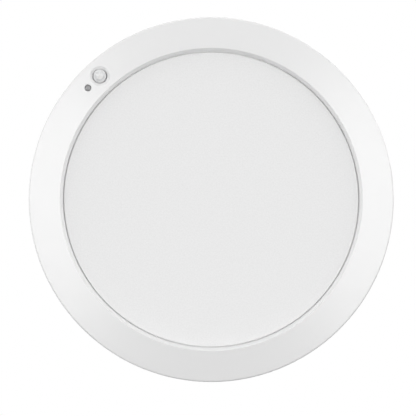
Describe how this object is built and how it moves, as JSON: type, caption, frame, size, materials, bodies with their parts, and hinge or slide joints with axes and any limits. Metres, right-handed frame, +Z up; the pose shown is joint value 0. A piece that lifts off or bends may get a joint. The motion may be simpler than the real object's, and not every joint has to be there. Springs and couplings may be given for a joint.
{
  "type": "motion sensor light",
  "caption": "Round white wall or ceiling panel light with a motion sensor and light cell in its bezel, on a twist-lock mounting plate.",
  "frame": {"origin": "centre of the mounting plate's back, in the plane of the wall", "axes": "+Y into the wall, -Y out of the lamp's face, +Z up, +X to the right when facing the lamp"},
  "size_m": [0.225, 0.038, 0.225],
  "materials": {
    "zinc_steel": "zinc plated, satin",
    "turned_steel": "turned, plated",
    "spring_steel": "tempered",
    "screw_steel": "plated screws",
    "earth_screw_steel": "green passivated",
    "white_shell": "satin white moulding",
    "opal": "fine matte opal",
    "seal_foam": "closed-cell foam tape",
    "clear_acrylic": "clear, polished edge",
    "white_film": "white reflective film",
    "grey_sponge": "open-cell sponge",
    "strip_film": "white coated flexible circuit",
    "led_phosphor": "phosphor-filled silicone",
    "tray_aluminium": "drawn sheet",
    "gasket_foam": "closed-cell foam ring",
    "lens_film": "milky infrared lens",
    "detector_can": "nickel plated can",
    "smoked_acrylic": "smoked, polished",
    "clear_epoxy": "clear epoxy",
    "white_inner": "white moulding",
    "green_board": "solder mask on glass fibre",
    "ivory_nylon": "natural nylon",
    "grey_cable": "soft insulation",
    "transformer_tape": "ferrite and yellow tape",
    "capacitor_sleeve": "shrink sleeve",
    "film_case": "moulded case",
    "varistor_coat": "dipped epoxy",
    "fuse_body": "glass and plated caps",
    "ferrite": "ferrite drum and wire",
    "chip_epoxy": "moulded epoxy",
    "clear_film": "folded insulating film",
    "red_insulation": "wire insulation",
    "white_nylon": "natural nylon",
    "orange_nylon": "coloured nylon",
    "white_cover": "satin white moulding",
    "grommet_rubber": "moulded rubber",
    "mains_insulation": "wire insulation, brown and blue",
    "earth_insulation": "wire insulation, green and yellow",
    "switch_can": "stamped can",
    "black_nylon": "moulded",
    "red_switch_body": "moulded",
    "white_slider": "moulded"
  },
  "bodies": {
    "mount": {"mounting_plate": "zinc_steel", "lock_studs": "turned_steel", "lock_spring": "spring_steel"},
    "lamp": {"front_bezel": "white_shell", "diffuser": "opal", "diffuser_seal": "seal_foam", "light_guide": "clear_acrylic", "reflector_sheet": "white_film", "foam_pad": "grey_sponge", "led_strip": "strip_film", "led_chips": "led_phosphor", "heat_sink_tray": "tray_aluminium", "tray_screws": "screw_steel", "rear_housing": "white_shell", "housing_screws": "screw_steel", "wall_gasket": "gasket_foam", "pir_lens": "lens_film", "pir_detector": "detector_can", "light_pipe": "smoked_acrylic", "light_cell": "clear_epoxy", "sensor_holder": "white_inner", "sensor_board": "green_board", "sensor_screws": "screw_steel", "sensor_plug": "ivory_nylon", "sensor_cable": "grey_cable", "driver_board": "green_board", "driver_screws": "screw_steel", "transformer": "transformer_tape", "bulk_capacitors": "capacitor_sleeve", "film_capacitor": "film_case", "varistor": "varistor_coat", "fuse": "fuse_body", "choke": "ferrite", "power_chips": "chip_epoxy", "board_sockets": "ivory_nylon", "insulating_film": "clear_film", "led_leads": "red_insulation", "terminal_block": "white_nylon", "cable_grommet": "grommet_rubber", "supply_leads": "mains_insulation", "earth_lead": "earth_insulation", "earth_screw": "earth_screw_steel", "switch_board": "green_board", "switch_screws": "screw_steel", "switch_cable": "grey_cable", "colour_switch": "switch_can", "dip_switch": "red_switch_body"},
    "terminal_cover": {"terminal_cover": "white_cover"},
    "live_button": {"terminal_button_live": "orange_nylon"},
    "neutral_button": {"terminal_button_neutral": "orange_nylon"},
    "earth_button": {"terminal_button_earth": "orange_nylon"},
    "colour_selector": {"colour_slider": "black_nylon"},
    "dip_1": {"dip_slider_1": "white_slider"},
    "dip_2": {"dip_slider_2": "white_slider"},
    "dip_3": {"dip_slider_3": "white_slider"}
  },
  "joints": [
    {"name": "lamp_twist", "type": "hinge", "parent": "mount", "child": "lamp", "pos_m": [0, 0, 0], "axis": [0, -1, 0], "range_deg": [0, 18]},
    {"name": "cover_hinge", "type": "hinge", "parent": "lamp", "child": "terminal_cover", "pos_m": [0, -0.0083, 0.0146], "axis": [1, 0, 0], "range_deg": [0, 100]},
    {"name": "live_press", "type": "slide", "parent": "lamp", "child": "live_button", "axis": [0, -1, 0], "range_m": [0, 0.0012], "stiffness_N_per_m": 900, "springref_m": -0.0008},
    {"name": "neutral_press", "type": "slide", "parent": "lamp", "child": "neutral_button", "axis": [0, -1, 0], "range_m": [0, 0.0012], "stiffness_N_per_m": 900, "springref_m": -0.0008},
    {"name": "earth_press", "type": "slide", "parent": "lamp", "child": "earth_button", "axis": [0, -1, 0], "range_m": [0, 0.0012], "stiffness_N_per_m": 900, "springref_m": -0.0008},
    {"name": "colour_slide", "type": "slide", "parent": "lamp", "child": "colour_selector", "axis": [1, 0, 0], "range_m": [-0.0024, 0.0024]},
    {"name": "dip_1_slide", "type": "slide", "parent": "lamp", "child": "dip_1", "axis": [0, 0, 1], "range_m": [0, 0.0018]},
    {"name": "dip_2_slide", "type": "slide", "parent": "lamp", "child": "dip_2", "axis": [0, 0, 1], "range_m": [0, 0.0018]},
    {"name": "dip_3_slide", "type": "slide", "parent": "lamp", "child": "dip_3", "axis": [0, 0, 1], "range_m": [0, 0.0018]}
  ]
}
